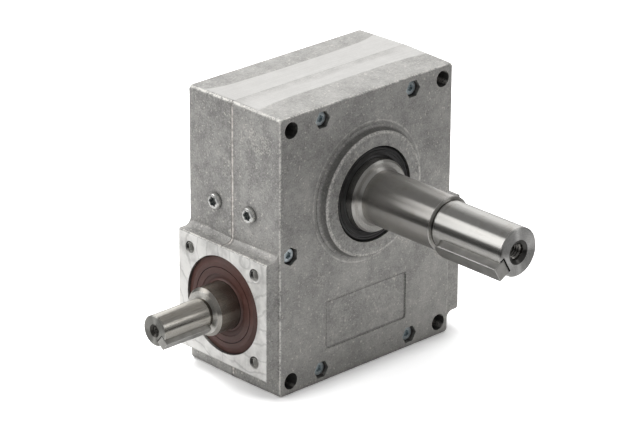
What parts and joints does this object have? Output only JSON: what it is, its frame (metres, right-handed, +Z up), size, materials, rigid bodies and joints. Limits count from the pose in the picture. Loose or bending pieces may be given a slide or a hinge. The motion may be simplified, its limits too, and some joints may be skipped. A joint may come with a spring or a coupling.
{
  "type": "worm gearbox",
  "caption": "Worm gearbox with a split cast housing, square input flanges, keyed worm shaft and keyed output shaft on a round boss.",
  "frame": {"origin": "middle of the flat base, in the parting plane of the two housing halves", "axes": "+Z up from the base, the output shaft leaves along -Y, the worm shaft leaves along -X"},
  "size_m": [0.2145, 0.21, 0.1788],
  "materials": {
    "cast_housing": "grey die-cast metal, mottled, with machined flange, boss and base faces",
    "plated_fasteners": "zinc-plated steel",
    "plated_plugs": "bright zinc-plated steel",
    "ground_shaft": "turned and ground steel",
    "key_steel": "drawn bright steel",
    "bearing_steel": "polished hardened steel",
    "spring_steel": "dark oiled spring steel",
    "cover_steel": "rubber-coated pressed steel",
    "hub_iron": "machined cast iron",
    "wheel_bronze": "machined bronze",
    "black_seal": "black nitrile rubber, moulded",
    "brown_seal": "brown fluoro rubber, moulded"
  },
  "bodies": {
    "housing": {"housing_front": "cast_housing", "housing_rear": "cast_housing", "case_screws": "plated_fasteners", "case_nuts": "plated_fasteners", "dowel_pins": "bearing_steel", "oil_plugs": "plated_plugs", "bore_rings": "spring_steel", "output_seal": "black_seal", "input_seal": "brown_seal", "output_cover": "cover_steel", "tail_cover": "cover_steel", "output_bearing_front_outer": "bearing_steel", "output_bearing_rear_outer": "bearing_steel", "worm_bearing_input_outer": "bearing_steel", "worm_bearing_tail_outer": "bearing_steel"},
    "output": {"output_shaft": "ground_shaft", "output_key": "key_steel", "wheel_key": "key_steel", "wheel_hub": "hub_iron", "worm_wheel_rim": "wheel_bronze", "lock_pins": "bearing_steel", "output_rings": "spring_steel", "output_bearing_front_inner": "bearing_steel", "output_bearing_rear_inner": "bearing_steel"},
    "worm": {"worm_shaft": "ground_shaft", "input_key": "key_steel", "worm_ring": "spring_steel", "worm_bearing_input_inner": "bearing_steel", "worm_bearing_tail_inner": "bearing_steel"},
    "output_front_balls": {"output_bearing_front_balls": "bearing_steel"},
    "output_rear_balls": {"output_bearing_rear_balls": "bearing_steel"},
    "worm_input_balls": {"worm_bearing_input_balls": "bearing_steel"},
    "worm_tail_balls": {"worm_bearing_tail_balls": "bearing_steel"}
  },
  "joints": [
    {"name": "output_spin", "type": "hinge", "parent": "housing", "child": "output", "pos_m": [0, 0, 0.114], "axis": [0, 1, 0], "continuous": true},
    {"name": "worm_spin", "type": "hinge", "parent": "housing", "child": "worm", "pos_m": [0, 0, 0.051], "axis": [1, 0, 0], "continuous": true},
    {"name": "output_front_balls_spin", "type": "hinge", "parent": "housing", "child": "output_front_balls", "pos_m": [0, 0, 0.114], "axis": [0, 1, 0], "continuous": true},
    {"name": "output_rear_balls_spin", "type": "hinge", "parent": "housing", "child": "output_rear_balls", "pos_m": [0, 0, 0.114], "axis": [0, 1, 0], "continuous": true},
    {"name": "worm_input_balls_spin", "type": "hinge", "parent": "housing", "child": "worm_input_balls", "pos_m": [0, 0, 0.051], "axis": [1, 0, 0], "continuous": true},
    {"name": "worm_tail_balls_spin", "type": "hinge", "parent": "housing", "child": "worm_tail_balls", "pos_m": [0, 0, 0.051], "axis": [1, 0, 0], "continuous": true}
  ],
  "couplings": [
    {"joint": "worm_spin", "follows": "output_spin", "ratio": 30},
    {"joint": "output_front_balls_spin", "follows": "output_spin", "ratio": 0.4225},
    {"joint": "output_rear_balls_spin", "follows": "output_spin", "ratio": 0.4225},
    {"joint": "worm_input_balls_spin", "follows": "output_spin", "ratio": 11.766},
    {"joint": "worm_tail_balls_spin", "follows": "output_spin", "ratio": 11.766}
  ]
}
